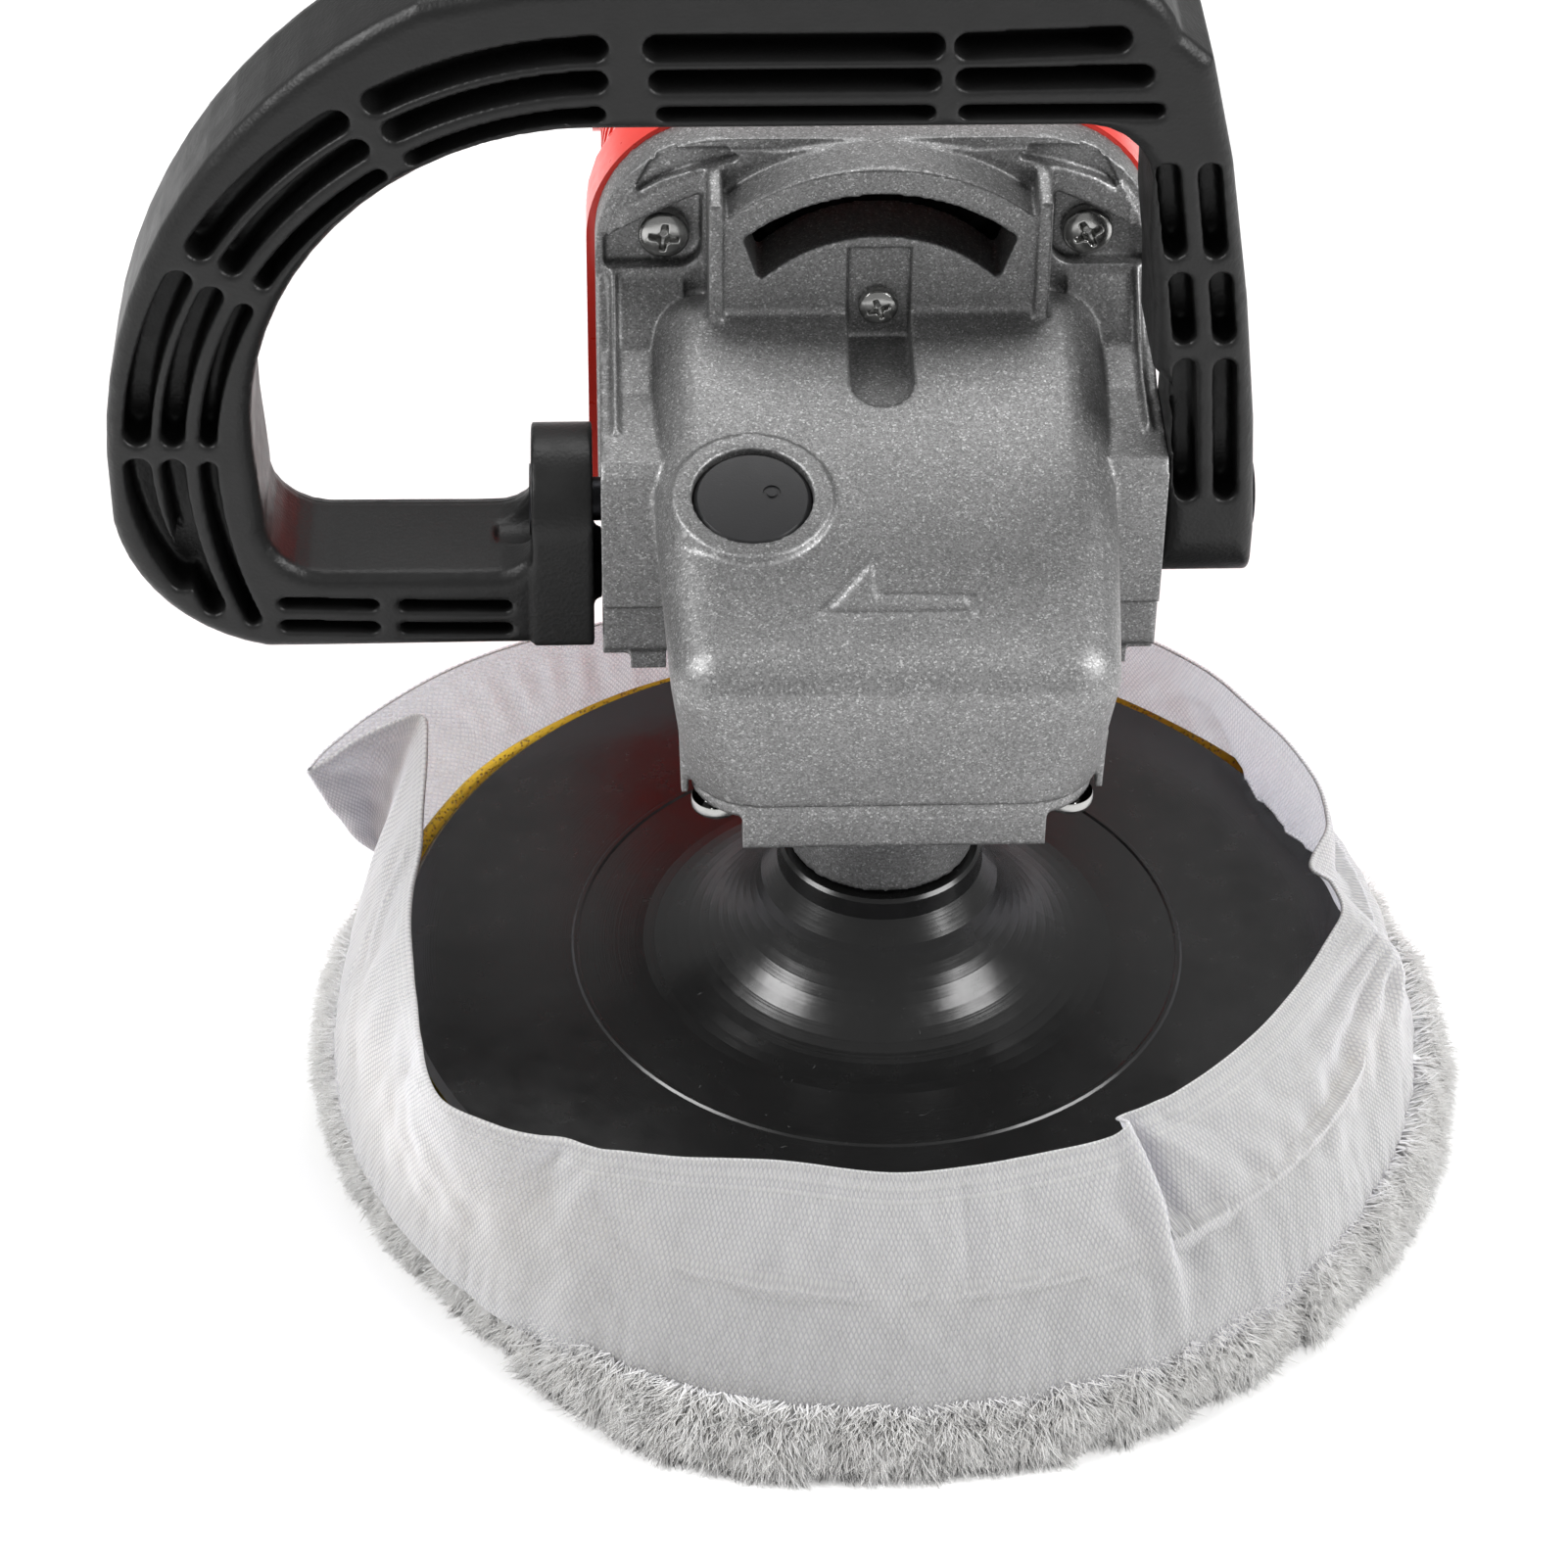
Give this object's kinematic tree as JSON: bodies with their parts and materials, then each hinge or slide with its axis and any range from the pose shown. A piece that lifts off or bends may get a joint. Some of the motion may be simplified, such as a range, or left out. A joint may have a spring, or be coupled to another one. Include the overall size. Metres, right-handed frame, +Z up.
{
  "type": "rotary polisher",
  "caption": "Corded rotary polisher: alloy gear case with spindle lock, red motor barrel, side loop handle, rear trigger handle and a backing plate with a wool bonnet.",
  "frame": {"origin": "on the spindle axis, at the underside of the wool bonnet", "axes": "+Z up the spindle, +Y back along the motor to the rear handle, +X to the leg side of the loop handle"},
  "size_m": [0.2451, 0.4639, 0.225],
  "materials": {
    "case_alloy": "satin",
    "zinc_fasteners": "satin",
    "black_fasteners": "satin",
    "ground_steel": "satin",
    "gear_steel": "satin",
    "spring_steel": "satin",
    "core_steel": "matte",
    "copper": "satin",
    "holder_brass": "satin",
    "carbon": "matte",
    "handle_plastic": "satin",
    "control_plastic": "matte",
    "plate_plastic": "gloss",
    "red_plastic": "satin",
    "inner_plastic": "matte",
    "circuit": "satin",
    "black_rubber": "matte",
    "felt": "matte",
    "yellow_foam": "matte",
    "wool": "matte",
    "white_mesh": "matte"
  },
  "bodies": {
    "housing": {"gear_case": "case_alloy", "bearing_retainer": "case_alloy", "retainer_screws": "zinc_fasteners", "case_screws": "zinc_fasteners", "centre_screw": "zinc_fasteners", "spindle_bearing": "ground_steel", "needle_bearing": "ground_steel", "dust_seal": "felt", "front_bearing": "ground_steel", "bearing_clamp_plate": "ground_steel", "motor_housing": "red_plastic", "fan_baffle": "inner_plastic", "stator_core": "core_steel", "field_coils": "copper", "rear_bearing": "ground_steel", "brush_holders": "holder_brass", "carbon_brushes": "carbon", "brush_springs": "spring_steel", "brush_caps": "control_plastic", "lock_spring": "spring_steel", "loop_handle": "handle_plastic", "handle_bolts": "black_fasteners", "bolt_washers": "black_fasteners", "rear_handle_left": "handle_plastic", "rear_handle_right": "handle_plastic", "handle_screws": "zinc_fasteners", "switch_body": "inner_plastic", "speed_controller": "circuit", "trigger_pin": "ground_steel", "trigger_spring": "spring_steel", "dial_pin": "ground_steel", "cord_inlet": "black_rubber", "cord_clamp": "inner_plastic"},
    "spindle_group": {"spindle": "ground_steel", "bevel_gear": "gear_steel", "gear_circlip": "ground_steel", "backing_plate": "plate_plastic", "plate_insert": "ground_steel", "foam_disc": "yellow_foam", "bonnet_wool": "wool", "bonnet_skirt": "white_mesh"},
    "armature_group": {"armature_shaft": "ground_steel", "pinion": "gear_steel", "fan": "inner_plastic", "armature_core": "core_steel", "armature_windings": "copper", "commutator": "copper"},
    "lock": {"lock_button": "control_plastic", "lock_pin": "ground_steel"},
    "trigger_lever": {"trigger": "control_plastic"},
    "lock_on": {"lock_on_button": "control_plastic"},
    "dial": {"speed_dial": "control_plastic"}
  },
  "joints": [
    {"name": "spindle_spin", "type": "hinge", "parent": "housing", "child": "spindle_group", "pos_m": [0, 0, 0.08], "axis": [0, 0, 1], "continuous": true},
    {"name": "armature_spin", "type": "hinge", "parent": "housing", "child": "armature_group", "pos_m": [0, 0.12, 0.12], "axis": [0, 1, 0], "continuous": true},
    {"name": "lock_press", "type": "slide", "parent": "housing", "child": "lock", "axis": [0, 0.2756, -0.9613], "range_m": [0, 0.004], "stiffness_N_per_m": 400, "springref_m": -0.003, "deforming": ["lock_spring"]},
    {"name": "trigger_press", "type": "hinge", "parent": "housing", "child": "trigger_lever", "pos_m": [0, 0.238, 0.097], "axis": [1, 0, 0], "range_deg": [0, 6], "stiffness_Nm_per_rad": 2, "springref_deg": -6.88, "deforming": ["trigger_spring"]},
    {"name": "lock_on_press", "type": "slide", "parent": "housing", "child": "lock_on", "axis": [1, 0, 0], "range_m": [0, 0.0025], "stiffness_N_per_m": 300, "springref_m": -0.002},
    {"name": "dial_turn", "type": "hinge", "parent": "housing", "child": "dial", "pos_m": [0, 0.322, 0.13], "axis": [1, 0, 0], "range_deg": [0, 270]}
  ],
  "couplings": [
    {"joint": "armature_spin", "follows": "spindle_spin", "ratio": 3.7273}
  ]
}
